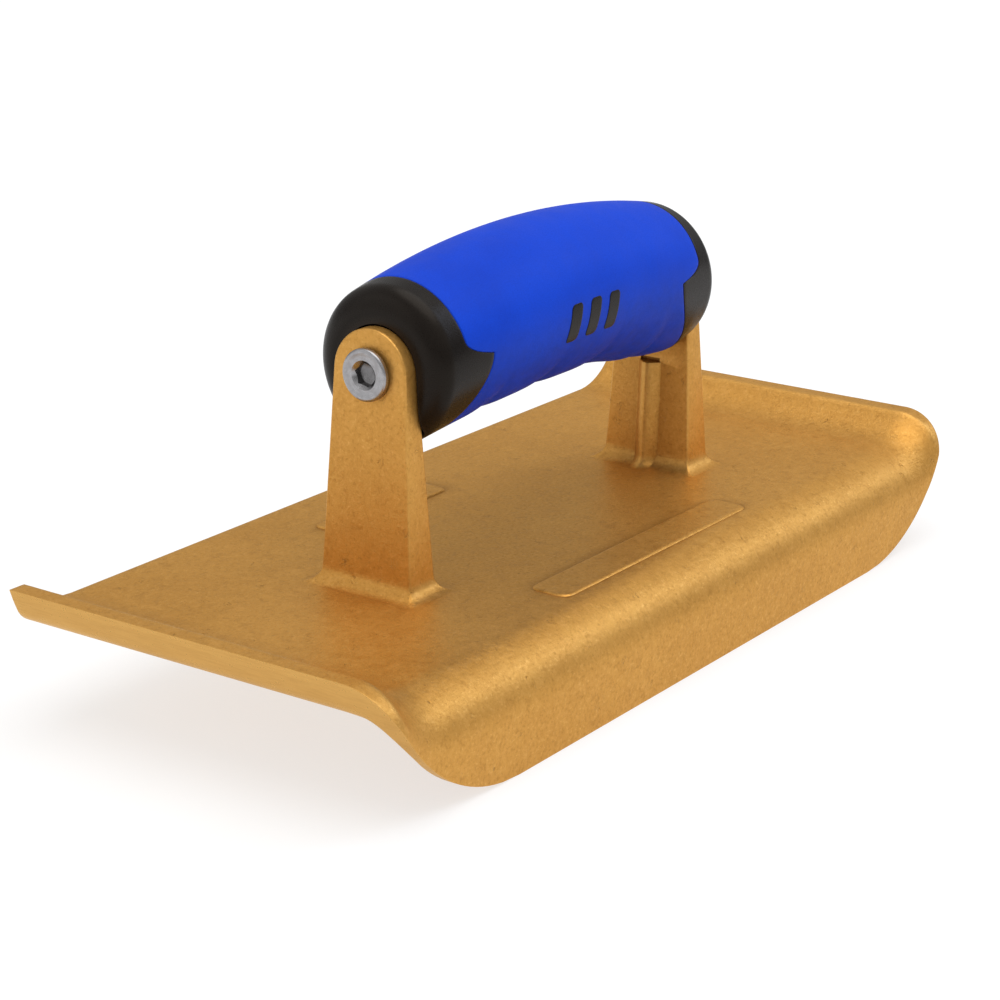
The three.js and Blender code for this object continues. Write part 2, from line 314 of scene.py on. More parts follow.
def sole_lift(x):
    """How far the sole is lifted: one curve, which stops before it grows steep."""
    x = abs(x)
    if x <= SOLE_CURL_START:
        return 0.0
    x = min(x, SOLE_CURL_END)
    return SOLE_CURL_RADIUS - math.sqrt(SOLE_CURL_RADIUS ** 2 - (x - SOLE_CURL_START) ** 2)


def runner_x(z):
    """Where the runner-shaped end face stands at height z."""
    return RUNNER_START + math.sqrt(max(RUNNER_RADIUS ** 2 - (z - RUNNER_Z) ** 2, 0.0))


def shell_profile():
    """Matched (y, z) points of the outer and inner surface, from the back edge to the bit's
    bottom."""
    outer, inner = [], []
    plate_steps, fold_steps, bit_steps = 44, 26, 14
    inner_y = -BIT_FACE + WALL + INNER_RADIUS
    for i in range(plate_steps):
        share = i / plate_steps
        outer.append((lerp(BACK_EDGE, FOLD_Y, share), WALL))
        inner.append((lerp(BACK_EDGE, inner_y, share), 0.0))
    for i in range(fold_steps):
        turn = math.pi / 2 * i / fold_steps
        outer.append((FOLD_Y - FOLD_RADIUS * math.sin(turn), FOLD_Z + FOLD_RADIUS * math.cos(turn)))
        inner.append((inner_y - INNER_RADIUS * math.sin(turn),
                      -INNER_RADIUS + INNER_RADIUS * math.cos(turn)))
    for i in range(bit_steps + 1):
        # Closer together near the bottom, where the runner runs almost level, but still further
        # apart than the width of the edges' rounding, which breaks up on closer points.
        left = 1 - i / bit_steps
        share = 1 - left * (0.44 + 0.56 * left)
        outer.append((-BIT_FACE, lerp(FOLD_Z, BIT_BOTTOM, share)))
        inner.append((-BIT_FACE + WALL, lerp(-INNER_RADIUS, BIT_BOTTOM, share)))
    return outer, inner


def end_of(z_rest, lift):
    """The x at which a line of the shell, lifted near the end, meets the runner."""
    x = runner_x(z_rest)
    for _ in range(30):
        x = 0.5 * (x + runner_x(z_rest + lift(x)))
    return x


def sole_round(y):
    """The radius between the sole and the end faces, which gets smaller over the fold."""
    return lerp(SOLE_ROUND_ON_BIT, SOLE_ROUND, smoothstep(-46, -34, y))


def cast_wave(x, y, z):
    """The slight unevenness of a sand casting, in millimetres, which stays off the posts' feet."""
    place = Vector((x, y, z))
    from_post = math.hypot(max(abs(abs(x) - POST_X) - 9, 0), max(abs(y) - 17, 0))
    size = smoothstep(0.0, 6.0, from_post) if z > 0 else 1.0
    return size * (0.10 * noise.noise(place / 26.0)
                   + 0.035 * noise.noise(place / 7.0 + Vector((9, 2, 5))))


def draw_in(points, y, z, end):
    """Draws a line of the outer surface inwards by the unevenness, except near its edges."""
    moved = []
    for x, y_here, z_here in points:
        fade = smoothstep(0.0, 5.0, end - abs(x)) * smoothstep(0, 4, BACK_EDGE - y_here)
        wave = min(cast_wave(x, y_here, z_here) * fade, 0.0)
        if z >= WALL - 0.01:
            z_here += wave
        elif z > FOLD_Z:
            turn = math.atan2(z - FOLD_Z, y - FOLD_Y)
            y_here += wave * math.cos(turn)
            z_here += wave * math.sin(turn)
        else:
            y_here -= wave * smoothstep(0, 3, z - BIT_BOTTOM)
        moved.append((x, y_here, z_here))
    return moved


def line_insets():
    """How far from its end each point of a line lies: closer together where the ends curl."""
    half_length = CAST_HIGH.x
    near_end = [0.0, 0.5, 1.2, 2.0, 2.8, 3.6, 4.3, 4.9, 5.6, 6.4, 7.4, 8.6, 10.0, 11.6, 13.4,
                15.4, 17.6]
    middle = [20.0 + 3.3 * i for i in range(60)]
    return [d for d in near_end + middle if d < half_length] + [half_length]


def shell_line(y, z, lift, is_outer):
    """The points along the tool, from end to end, that the profile's point (y, z) draws."""
    half_length = CAST_HIGH.x
    curls = z >= (FOLD_Z if is_outer else -INNER_RADIUS) - 0.01
    lift_here = lift if curls else (lambda x: 0.0)
    end = end_of(z, lift_here) - (0.0 if is_outer else sole_round(y))
    points = []
    for side in (-1, 1):
        half = []
        for inset in line_insets():
            # Insets stay true near the end, and share out the rest of the line evenly.
            x = end - inset * lerp(1.0, end / half_length, smoothstep(0, half_length, inset))
            x = max(x, 0.0) if inset < half_length else 0.0
            half.append((side * x, y, z + lift_here(x)))
        points += half if side < 0 else half[-2::-1]
    return draw_in(points, y, z, end) if is_outer else points


def build_shell():
    """Points and faces of the shell: lines along the tool, closed by the two end faces."""
    outer, inner = shell_profile()
    outer_lines = [shell_line(y, z, rim_lift, True) for y, z in outer]
    inner_lines = [shell_line(y, z, sole_lift, False) for y, z in inner]
    loop = outer_lines + inner_lines[::-1]
    columns = len(loop)
    length = len(loop[0])
    count = len(outer)
    points = [p for row in loop for p in row]
    faces = []

    # End faces, with rows of points across the wall that lie on the runner and round its corner
    # with the sole. between_ends keeps the points that the back edge and the bottom share.
    across = (0.28, 0.50, 0.64, 0.76, 0.86, 0.94)
    between_ends = {}
    for end_index, side in ((0, -1), (length - 1, 1)):
        rows = [[j * length + end_index for j in range(count)]]
        for step in across:
            row = []
            for j in range(count):
                a = Vector(points[j * length + end_index])
                b = Vector(points[(columns - 1 - j) * length + end_index])
                mixed = a.lerp(b, step)
                radius = sole_round(b.y)
                past = radius - (1 - step) * math.hypot(a.y - b.y, a.z - b.z)
                inset = radius - math.sqrt(radius ** 2 - max(past, 0.0) ** 2)
                row.append(len(points))
                points.append((side * (runner_x(mixed.z) - inset), mixed.y, mixed.z))
            rows.append(row)
        rows.append([(columns - 1 - j) * length + end_index for j in range(count)])
        for low, high in zip(rows, rows[1:]):
            for j in range(count - 1):
                faces.append((low[j], low[j + 1], high[j + 1], high[j]))
        between_ends[count - 1, end_index] = [r[count - 1] for r in rows[1:-1]]
        between_ends[columns - 1, end_index] = [r[0] for r in rows[-2:0:-1]]

    for j in range(columns):
        k = (j + 1) % columns
        for i in range(length - 1):
            at_low = between_ends.get((j, i), []) if i == 0 else []
            at_high = between_ends.get((j, i + 1), [])[::-1]
            faces.append((j * length + i, *at_low, k * length + i,
                          k * length + i + 1, *at_high, j * length + i + 1))
    return points, faces


def shell():
    points, faces = build_shell()
    obj = mesh_from("casting", points, faces)
    clean(obj, 0.004)
    bevel_sharp(obj, 0.35, 40)
    return obj


# ---- Posts --------------------------------------------------------------------------------------

def post_thickness(z):
    return lerp(FOOT_THICKNESS, HEAD_THICKNESS, (z - WALL) / (AXIS_Z - WALL))


def post_half_width(z):
    return lerp(FOOT_WIDTH, HEAD_WIDTH, (z - WALL) / (AXIS_Z - WALL)) / 2


def post_outline(grow, z_low):
    """Half the blade's outline, from the bottom up to the crown, as (y, z, outward y, outward
    z)."""
    head = HEAD_WIDTH / 2 + grow
    points = []
    steps = 26
    lean = math.atan2(post_half_width(WALL) - HEAD_WIDTH / 2, AXIS_Z - WALL)
    for i in range(steps):
        z = lerp(z_low, AXIS_Z, i / steps)
        points.append((post_half_width(z) + grow, z, math.cos(lean), math.sin(lean)))
    steps = 22
    for i in range(steps + 1):
        turn = math.pi / 2 * i / steps
        points.append((head * math.cos(turn), AXIS_Z + head * math.sin(turn),
                       math.cos(turn), math.sin(turn)))
    return points


def post_blade(name, side, grow=0.0, edge=POST_EDGE, z_low=WALL - BLADE_SINK):
    """The tapered blade of a post, with its edges rounded by edge. grow makes it larger, to cut
    the pocket that it stands in."""
    half = post_outline(grow, z_low)
    full = half + [(-y, z, -ny, nz) for y, z, ny, nz in half[-2::-1]]
    steps = 5
    rings = []
    for face in (-1, 1):
        layers = []
        for k in range(steps + 1):
            turn = math.pi / 2 * k / steps
            inset = edge * (1 - math.sin(turn))
            drop = edge * (1 - math.cos(turn))
            ring = []
            for y, z, ny, nz in full:
                thick = post_thickness(z) / 2 + grow - drop
                ring.append((side * POST_X + face * thick, y - ny * inset, z - nz * inset))
            layers.append(ring)
        rings += layers if face < 0 else layers[::-1]
    width = len(full)
    points = [p for ring in rings for p in ring]
    faces = quad_grid(rings, around=True)
    last = len(points) - width
    for i in range(width // 2):
        j = width - 1 - i
        if i + 1 < j - 1:
            faces.append((i, i + 1, j - 1, j))
            faces.append((last + j, last + j - 1, last + i + 1, last + i))
        elif i + 1 == j - 1:
            faces.append((i, i + 1, j))
            faces.append((last + j, last + i + 1, last + i))
    return mesh_from(name, points, faces)


def between_points(a, b, count):
    """The points that split a straight run into count pieces, without its ends."""
    return [(lerp(a[0], b[0], i / count), lerp(a[1], b[1], i / count)) for i in range(1, count)]


def rounded_rectangle(half_x, half_y, radius, steps=5, sides=1):
    """An outline with steps along each corner and sides along each straight run."""
    corners = ((1, 1, 0), (-1, 1, 90), (-1, -1, 180), (1, -1, 270))
    points = []
    for sx, sy, start in corners:
        arc = []
        for i in range(steps + 1):
            turn = math.radians(start + 90 * i / steps)
            arc.append((sx * (half_x - radius) + radius * math.cos(turn),
                        sy * (half_y - radius) + radius * math.sin(turn)))
        if points:
            points += between_points(points[-1], arc[0], sides)
        points += arc
    return points + between_points(points[-1], points[0], sides)


def post_flare(name, side):
    """The fillet around a post's foot, as rounded rectangles that shrink on the way up."""
    steps = 14
    levels = [(WALL - FLARE_SINK, FLARE, 1.2)]
    for i in range(steps + 1):
        turn = math.pi / 2 * i / steps
        levels.append((WALL - OVERLAP + FLARE * (1 - math.cos(turn)), FLARE * (1 - math.sin(turn)),
                       POST_EDGE + 0.5 * (1 - math.sin(turn))))
    levels.append((WALL + FLARE + 1.5, -0.12, POST_EDGE))
    rings = []
    for z, reach, radius in levels:
        level = max(z, WALL)
        outline = rounded_rectangle(post_thickness(level) / 2 + reach,
                                    post_half_width(level) + reach, radius)
        rings.append([(side * POST_X + x, y, z) for x, y in outline])
    return tube(name, rings)


def post_rib(name, side):
    """A rib up the inner face, blended into it at its sides and flared at its foot."""
    steps = 9
    levels = [(WALL - RIB_SINK, RIB_FOOT)]
    for i in range(steps + 1):
        turn = math.pi / 2 * i / steps
        levels.append((WALL - OVERLAP + RIB_FOOT * (1 - math.cos(turn)),
                       RIB_FOOT * (1 - math.sin(turn))))
    levels += [(RIB_TOP - 0.6, 0.0), (RIB_TOP - 0.15, -0.12), (RIB_TOP, -0.5)]
    rings = []
    across = 20
    for z, spread in levels:
        half = RIB_HALF_WIDTH + spread
        face = POST_X - post_thickness(max(z, WALL)) / 2 + OVERLAP
        ring = []
        for i in range(across + 1):
            u = 2 * i / across - 1
            bulge = (0.5 + 0.5 * math.cos(math.pi * u)) ** 0.75
            ring.append((side * (face - (RIB_DEPTH + spread) * bulge), u * half, z))
        ring += [(side * POST_X, half, z), (side * POST_X, -half, z)]
        rings.append(ring)
    return tube(name, rings)


def rib_notch(name, side):
    """The dark slot above a rib's top."""
    x = side * (POST_X - post_thickness(RIB_TOP + 1) / 2)
    outline = rounded_rectangle(1.2, 2.7, 0.5, steps=3)
    rings = [[(x + px, py, z) for px, py in outline] for z in (RIB_TOP - 0.1, RIB_TOP + 0.9)]
    return tube(name, rings)


def blank_panel(name, x, y, length, width):
    """A low raised panel with rounded corners and a soft rim."""
    rings = []
    for z, shrink in ((WALL - PANEL_SINK, 0.0), (WALL + 0.05, 0.0), (WALL + PANEL_HEIGHT - 0.22, 0.10),
                      (WALL + PANEL_HEIGHT - 0.08, 0.28), (WALL + PANEL_HEIGHT, 0.6),
                      (WALL + PANEL_HEIGHT, 0.9)):
        outline = rounded_rectangle(length / 2 - shrink, width / 2 - shrink, width / 4, steps=8)
        rings.append([(x + px, y + py, z) for px, py in outline])
    return tube(name, rings)


def casting():
    body = shell()
    parts = []
    for side in (-1, 1):
        parts.append(post_flare("flare", side))
        parts.append(post_blade("blade", side))
        parts.append(post_rib("rib", side))
    for panel in PANELS:
        parts.append(blank_panel("panel", *panel))
    carve(body, parts, "UNION")
    cuts = []
    bore = SHANK_RADIUS + 0.4
    reach = FOOT_THICKNESS
    for side in (-1, 1):
        cuts.append(turned("bore", [(0, -reach), (bore, -reach), (bore, reach), (0, reach)], 32,
                           side * POST_X))
        cuts.append(rib_notch("notch", side))
    carve(body, cuts)
    clean(body, 0.002)
    return body


# ---- Grip ---------------------------------------------------------------------------------------

def grip_radius(x):
    """The grip is thickest in its middle, and its middle stands highest."""
    return lerp(GRIP_MIDDLE_RADIUS, GRIP_END_RADIUS, (x / GRIP_HALF) ** 2)


def grip_height(x):
    return AXIS_Z + GRIP_BOW * (1 - (x / GRIP_HALF) ** 2)


def finger_swell(x, turn):
    """Grooves between the fingers and a fuller far end, underneath. turn runs from the top."""
    under = smoothstep(math.radians(100), math.radians(150), turn)
    wave = abs(math.sin(math.pi * (x - FINGER_START) / FINGER_PITCH))
    along = smoothstep(-41, -33, x) * smoothstep(-45, -36, -x)
    heel = HEEL_SWELL * smoothstep(16, 34, x) * smoothstep(-GRIP_HALF + 1, -44, -x)
    return (heel - FINGER_DEPTH * (1 - wave) ** 2 * along) * under


def cap_inset(x):
    """How far the cap's rounded edge draws the surface in at x."""
    past = abs(x) - (GRIP_HALF - CAP_DEPTH)
    if past <= 0:
        return 0.0
    return CAP_EDGE * (1 - math.sqrt(max(1 - (past / CAP_DEPTH) ** 2, 0.0)))


def grip_point(x, turn, depth=0.0):
    """A point on the grip. turn runs from the top, over the bit's side, underneath and back up."""
    fold = turn if turn <= math.pi else 2 * math.pi - turn
    radius = grip_radius(x) - cap_inset(x) + finger_swell(x, fold) - depth
    return (x, -radius * math.sin(turn), grip_height(x) + radius * math.cos(turn))


def sleeve_edge(turn):
    """How far from the middle the rubber ends, at a turn from the top: a plain swept tongue of
    black runs into it on each side."""
    degrees = math.degrees(turn if turn <= math.pi else 2 * math.pi - turn)
    base = 45.6 + 1.2 * math.cos(math.radians(degrees))
    rise = min(max((degrees - 70.0) / 18.0, 0.0), 1.0) ** 2.2
    fall = 1 - smoothstep(88.0, 150.0, degrees) ** 0.85
    return base - 8.2 * rise * fall


def grip_turns():
    """Turns round the grip, closer together where the tongue's steep edge is."""
    marks = [(0, 68, 20), (68, 96, 44), (96, 180, 40)]
    half = [lerp(a, b, i / n) for a, b, n in marks for i in range(n)] + [180.0]
    full = half + [360.0 - d for d in half[-2:0:-1]]
    return [math.radians(d) for d in full]


def rolled(radius, steps):
    """How far a rounded edge lies (below the surface, back from the edge), from the side up."""
    turns = [math.pi / 2 * k / steps for k in range(steps)]
    return [(radius * (1 - math.sin(t)), radius * (1 - math.cos(t))) for t in turns]


def grip_sleeve():
    """The rubber: its outside, with both ends rolled in, and back along the inside."""
    turns = grip_turns()
    steps = 96
    rounding = 0.28

    def ring_at(share, depth, pull):
        ring = []
        for turn in turns:
            half = sleeve_edge(turn) - pull
            ring.append(grip_point(lerp(-half, half, share), turn, depth))
        return ring

    rings = [ring_at(0.0, depth, pull) for depth, pull in rolled(rounding, 4)]
    rings += [ring_at(i / steps, 0.0, rounding) for i in range(steps + 1)]
    rings += [ring_at(1.0, depth, pull) for depth, pull in rolled(rounding, 4)[::-1]]
    rings += [ring_at(i / steps, SLEEVE_DEPTH, 0.0) for i in range(steps, -1, -4)]
    points = [p for ring in rings for p in ring]
    faces = quad_grid(rings, around=True)
    width = len(turns)
    last = len(points) - width
    for j in range(width):
        k = (j + 1) % width
        faces.append((last + j, last + k, k, j))
    return mesh_from("grip_sleeve_soft", points, faces)


def cap_rings(side):
    """Rings of one end cap, from its flat face round its edge to the rubber, and down beside it."""
    turns = grip_turns()
    rounding = 0.2
    face_radius = GRIP_END_RADIUS - CAP_EDGE
    rings = []
    for share in (0.35, 0.7, 0.93):
        rings.append([(side * GRIP_HALF, -face_radius * share * math.sin(t),
                       AXIS_Z + face_radius * share * math.cos(t)) for t in turns])
    edge_steps = 12
    for k in range(edge_steps + 1):
        x = GRIP_HALF - CAP_DEPTH * (1 - math.cos(math.pi / 2 * k / edge_steps))
        rings.append([grip_point(side * x, t) for t in turns])
    start = GRIP_HALF - CAP_DEPTH
    body_steps = 12
    for k in range(1, body_steps + 1):
        rings.append([grip_point(side * lerp(start, sleeve_edge(t) + SLEEVE_GAP + rounding,
                                             k / body_steps), t) for t in turns])
    for k in range(1, 4):
        angle = math.pi / 2 * k / 3
        back, depth = rounding * (1 - math.sin(angle)), rounding * (1 - math.cos(angle))
        rings.append([grip_point(side * (sleeve_edge(t) + SLEEVE_GAP + back), t, depth)
                      for t in turns])
    rings.append([grip_point(side * (sleeve_edge(t) + SLEEVE_GAP), t, SLEEVE_DEPTH + 0.2)
                  for t in turns])
    return rings


def grip_core():
    """The black moulding: both caps up to the rubber, and the slimmer core under the rubber."""
    turns = grip_turns()
    waist = []
    steps = 16
    for i in range(1, steps):
        ring = []
        for t in turns:
            half = sleeve_edge(t) + SLEEVE_GAP
            ring.append(grip_point(lerp(-half, half, i / steps), t, SLEEVE_DEPTH + 0.2))
        waist.append(ring)
    core = tube("grip_core", cap_rings(-1) + waist + cap_rings(1)[::-1])
    cuts = []
    inner = abs(INSERT_HIGH.x) - 0.4
    outer = abs(INSERT_LOW.x) + 6
    radius = INSERT_RADIUS + 0.3
    for side in (-1, 1):
        cuts.append(post_blade("pocket", side, grow=0.4, edge=0.5, z_low=AXIS_Z - 40))
        low, high = sorted((side * inner, side * outer))
        cuts.append(turned("socket", [(0, low), (radius, low), (radius, high), (0, high)], 40))
    carve(core, cuts)
    clean(core, 0.002)
    return core


def grip_mark(name, x_middle):
    """A plain slanted bar let into the rubber on the bit's side."""
    outline = rounded_rectangle(MARK_WIDTH / 2, MARK_HEIGHT / 2, MARK_CORNER, steps=6, sides=12)

    def place(u, v, depth):
        turn = MARK_TURN - v / grip_radius(x_middle + u + MARK_SLANT * v)
        return grip_point(x_middle + u + MARK_SLANT * v, turn, depth)

    # From its bottom in the rubber, up its soft rim, and then across its top to the middle.
    levels = [(1.0, 0.9), (1.0, -MARK_RISE * 0.3), (0.985, -MARK_RISE * 0.8)]
    levels += [(share, -MARK_RISE) for share in (0.95, 0.8, 0.6, 0.4, 0.2, 0.05)]
    return tube(name, [[place(u * share, v * share, depth) for u, v in outline]
                       for share, depth in levels])


# ---- Screws -------------------------------------------------------------------------------------

def screw(name, side):
    """A low dished head with a hexagon socket, and its shank. It is built facing -X, and turned
    round for the far end."""
    face = -HEAD_FACE
    seat = face + HEAD_HEIGHT
    dish = HEAD_RADIUS - HEAD_RIM
    profile = [(0.0, face + HEAD_DISH), (2.0, face + HEAD_DISH), (dish - 0.75, face + HEAD_DISH),
               (dish - 0.45, face + 0.02), (dish - 0.2, face)]
    for k in range(6):
        angle = math.pi / 2 * k / 5
        profile.append((HEAD_RADIUS - HEAD_RIM * (1 - math.sin(angle)),
                        face + HEAD_RIM * (1 - math.cos(angle))))
    profile += [(HEAD_RADIUS, seat - 0.15), (HEAD_RADIUS - 0.15, seat), (SHANK_RADIUS, seat),
                (SHANK_RADIUS, -SCREW_END - 0.6), (SHANK_RADIUS - 0.6, -SCREW_END),
                (0.0, -SCREW_END)]
    obj = turned(name, profile, 96)

    # The socket: a chamfered mouth, the hexagon, and the drill's cone under it.
    mouth = turned("mouth", [(0, face - 1), (4.4, face - 1), (2.35, face + 0.95),
                             (0, face + 0.95)], 72)
    corner = SOCKET_WIDTH / math.sqrt(3)
    turns = [math.pi / 3 * i + SOCKET_TURN for i in range(6)]
    hexagon = tube("hexagon", [[(x, corner * math.cos(t), AXIS_Z + corner * math.sin(t))
                                for t in turns] for x in (face - 1, face + SOCKET_DEPTH)])
    bottom = face + SOCKET_DEPTH - 0.1
    cone = turned("cone", [(0, bottom), (2.3, bottom), (0, bottom + 1.0)], 48)
    carve(obj, [mouth, hexagon, cone])
    if side > 0:
        obj.data.transform(Matrix.Rotation(math.pi, 4, "Z"))
    clean(obj, 0.002)
    return obj


# ---- Materials ----------------------------------------------------------------------------------

class Nodes:
    """A short way to write a node tree: each call adds a node, links its inputs and returns it."""

    def __init__(self, name):
        self.material = bpy.data.materials.new(name)
        self.material.use_nodes = True
        self.tree = self.material.node_tree
        self.tree.nodes.clear()
        self.output = self.tree.nodes.new("ShaderNodeOutputMaterial")
        self.place = self.add("ShaderNodeTexCoord").outputs["Object"]

    def add(self, kind, inputs=None, **settings):
        node = self.tree.nodes.new(kind)
        for key, value in settings.items():
            setattr(node, key, value)
        for key, value in (inputs or {}).items():
            if isinstance(value, bpy.types.NodeSocket):
                self.tree.links.new(value, node.inputs[key])
            else:
                node.inputs[key].default_value = value
        return node

    def scaled(self, scale, shift=(0, 0, 0)):
        made = self.add("ShaderNodeMapping",
                        {"Vector": self.place, "Scale": scale, "Location": shift})
        return made.outputs["Vector"]

    def noise(self, size, detail, roughness, vector=None, distortion=0.0, shift=0.0):
        """Noise with features of about size millimetres, from 0 to 1."""
        vector = vector or self.scaled((1, 1, 1), (shift, shift * 0.7, shift * 1.3))
        made = self.add("ShaderNodeTexNoise", {"Vector": vector, "Scale": 1 / (size * MM),
                                               "Detail": detail, "Roughness": roughness,
                                               "Distortion": distortion})
        return made.outputs["Fac"]

    def between(self, value, low, high, to_low=0.0, to_high=1.0):
        """A smooth step from to_low to to_high while the value goes from low to high."""
        made = self.add("ShaderNodeMapRange", {"Value": value, "From Min": low, "From Max": high,
                                               "To Min": to_low, "To Max": to_high},
                        interpolation_type="SMOOTHSTEP")
        return made.outputs["Result"]

    def math(self, operation, a, b=0.0, clamp=False):
        made = self.add("ShaderNodeMath", {0: a, 1: b}, operation=operation, use_clamp=clamp)
        return made.outputs[0]

    def mix(self, share, a, b, blend="MIX"):
        made = self.add("ShaderNodeMix", data_type="RGBA", blend_type=blend)
        for key, value in ((0, share), (6, a), (7, b)):
            if isinstance(value, bpy.types.NodeSocket):
                self.tree.links.new(value, made.inputs[key])
            else:
                made.inputs[key].default_value = value
        return made.outputs[2]

    def bump(self, height, distance, strength, normal=None):
        """A bump of about distance millimetres, on top of another one where normal gives it."""
        inputs = {"Height": height, "Distance": distance * MM, "Strength": strength}
        if normal is not None:
            inputs["Normal"] = normal
        return self.add("ShaderNodeBump", inputs).outputs["Normal"]

    def attribute(self, name):
        return self.add("ShaderNodeAttribute", attribute_name=name).outputs["Fac"]

    def shader(self, **sockets):
        """Ends the tree with a Principled shader, its sockets' names written with underscores."""
        made = self.add("ShaderNodeBsdfPrincipled",
                        {key.replace("_", " "): value for key, value in sockets.items()})
        self.tree.links.new(made.outputs[0], self.output.inputs["Surface"])
        return self.material


def rgb(r, g, b):
    """A colour from screen values, 0 to 255."""
    def linear(value):
        value /= 255
        return value / 12.92 if value <= 0.04045 else ((value + 0.055) / 1.055) ** 2.4
    return (linear(r), linear(g), linear(b), 1.0)


def bronze_material():
    """Sand-cast bronze. Its attributes say which faces are ground, which of them are the sole,
    and how worn or hollow the surface is; the hollows get painted shade."""
    n = Nodes("cast_bronze")
    machined = n.attribute("machined")
    worn = n.attribute("worn")
    hollow = n.attribute("hollow")
    cast = n.between(machined, 0.9, 0.1)
    broad = n.noise(34, 3, 0.5)
    patches = n.noise(9, 5, 0.62, distortion=0.6, shift=0.013)
    mottle = n.noise(2.0, 5, 0.70, distortion=0.9, shift=0.031)
    grain = n.noise(0.75, 4, 0.7)
    fine = n.noise(0.22, 2, 0.6, shift=0.02)

    color = n.mix(n.between(broad, 0.34, 0.66), rgb(203, 148, 70), rgb(209, 154, 75))
    color = n.mix(n.between(patches, 0.36, 0.64, 0.0, 0.35), color, rgb(196, 141, 67))
    color = n.mix(n.between(mottle, 0.48, 0.68, 0.0, 0.45), color, rgb(222, 167, 90))
    color = n.mix(n.between(mottle, 0.47, 0.32, 0.0, 0.55), color, rgb(178, 124, 55))
    color = n.mix(n.between(grain, 0.53, 0.70, 0.0, 0.50), color, rgb(166, 114, 49))
    color = n.mix(n.between(grain, 0.45, 0.28, 0.0, 0.45), color, rgb(234, 184, 106))

    # Short curled marks and small pits left by the sand.
    contour = n.noise(1.9, 1, 0.4, distortion=1.6, shift=0.07)
    line = n.between(n.math("ABSOLUTE", n.math("SUBTRACT", contour, 0.5)), 0.022, 0.006)
    spots = n.add("ShaderNodeTexVoronoi", {"Vector": n.scaled((1, 1, 1), (0.003, 0.001, 0.002)),
                                           "Scale": 1 / (6.0 * MM), "Randomness": 1.0})
    curl = n.math("MULTIPLY", line, n.between(spots.outputs["Distance"], 0.22, 0.13))
    holes = n.add("ShaderNodeTexVoronoi", {"Vector": n.scaled((1, 1, 1), (0.004, 0.007, 0.002)),
                                           "Scale": 1 / (7.0 * MM), "Randomness": 1.0})
    cluster = n.between(n.noise(22, 2, 0.5, shift=0.05), 0.50, 0.66)
    hole = n.math("MULTIPLY", n.between(holes.outputs["Distance"], 0.07, 0.03), cluster)
    pit = n.math("MULTIPLY", n.math("MAXIMUM", curl, hole), cast)
    color = n.mix(n.math("MULTIPLY", pit, 0.45), color, rgb(126, 84, 36))

    # Ground faces: paler, with fine lines along Y on the ends and along X under the sole.
    sole = n.attribute("sole")
    along_y = n.noise(0.28, 2, 0.5, vector=n.scaled((1.0, 0.05, 1.0)))
    along_x = n.noise(0.28, 2, 0.5, vector=n.scaled((0.05, 1.0, 1.0)))
    lines = n.math("ADD", n.math("MULTIPLY", along_x, sole),
                   n.math("MULTIPLY", along_y, n.math("SUBTRACT", 1.0, sole)))
    bands = n.noise(6.0, 3, 0.5, vector=n.scaled((1.0, 0.2, 1.0), (0.02, 0.01, 0.0)))
    ground = n.mix(n.between(bands, 0.35, 0.65), rgb(203, 155, 84), rgb(211, 163, 90))
    ground = n.mix(n.between(lines, 0.42, 0.66, 0.0, 0.35), ground, rgb(188, 140, 74))
    color = n.mix(machined, color, ground)
    color = n.mix(n.math("MULTIPLY", worn, 0.25), color, rgb(234, 184, 106))
    # Painted shade: the hollows, such as round the posts' feet and along the panels, are darkened
    # brown.
    color = n.mix(n.math("MULTIPLY", hollow, 0.5), color, rgb(126, 80, 30))

    rough = n.between(mottle, 0.25, 0.75, 0.35, 0.43)
    rough = n.math("ADD", rough, n.between(grain, 0.3, 0.7, -0.05, 0.07))
    rough = n.math("SUBTRACT", rough, n.math("MULTIPLY", machined, 0.05))
    rough = n.math("SUBTRACT", rough, n.math("MULTIPLY", worn, 0.06), clamp=True)

    height = n.math("ADD", n.math("MULTIPLY", mottle, 0.5), n.math("MULTIPLY", grain, 0.4))
    height = n.math("ADD", height, n.math("MULTIPLY", fine, 0.10))
    height = n.math("MULTIPLY", height, cast)
    height = n.math("ADD", height, n.math("MULTIPLY", n.math("MULTIPLY", lines, 0.12), machined))
    height = n.math("SUBTRACT", height, n.math("MULTIPLY", pit, 0.7))
    normal = n.bump(height, 0.20, 0.8)
    normal = n.bump(patches, 0.30, 0.3, normal)
    return n.shader(Base_Color=color, Metallic=0.66, Roughness=rough, Normal=normal,
                    Specular_IOR_Level=0.25, Specular_Tint=(1.0, 0.86, 0.58, 1.0))


def rubber_material():
    """Soft blue rubber, darkened towards its underside as painted shade."""
    n = Nodes("blue_rubber")
    broad = n.noise(30, 3, 0.5)
    cloud = n.noise(5, 4, 0.6, shift=0.02)
    grain = n.noise(0.32, 3, 0.6)
    color = n.mix(n.between(broad, 0.35, 0.65), rgb(6, 62, 196), rgb(10, 68, 208))
    color = n.mix(n.between(cloud, 0.4, 0.7, 0.0, 0.25), color, rgb(14, 74, 218))
    color = n.mix(n.between(grain, 0.35, 0.75, 0.0, 0.22), color, rgb(14, 42, 150))
    # Painted shade: darker blue towards the underside, its strength broken up by noise.
    under = n.attribute("underside_shade")
    shade_breakup = n.noise(2.2, 5, 0.7, shift=0.06)
    color = n.mix(n.math("MULTIPLY", under, n.between(shade_breakup, 0.3, 0.8, 0.30, 0.65)), color,
                  rgb(12, 38, 118))
    rough = n.between(cloud, 0.3, 0.7, 0.46, 0.54)
    rough = n.math("ADD", rough, n.between(grain, 0.3, 0.7, -0.02, 0.04))
    normal = n.bump(grain, 0.03, 0.5)
    normal = n.bump(cloud, 0.10, 0.25, normal)
    return n.shader(Base_Color=color, Roughness=rough, Normal=normal, IOR=1.45,
                    Specular_IOR_Level=0.12)


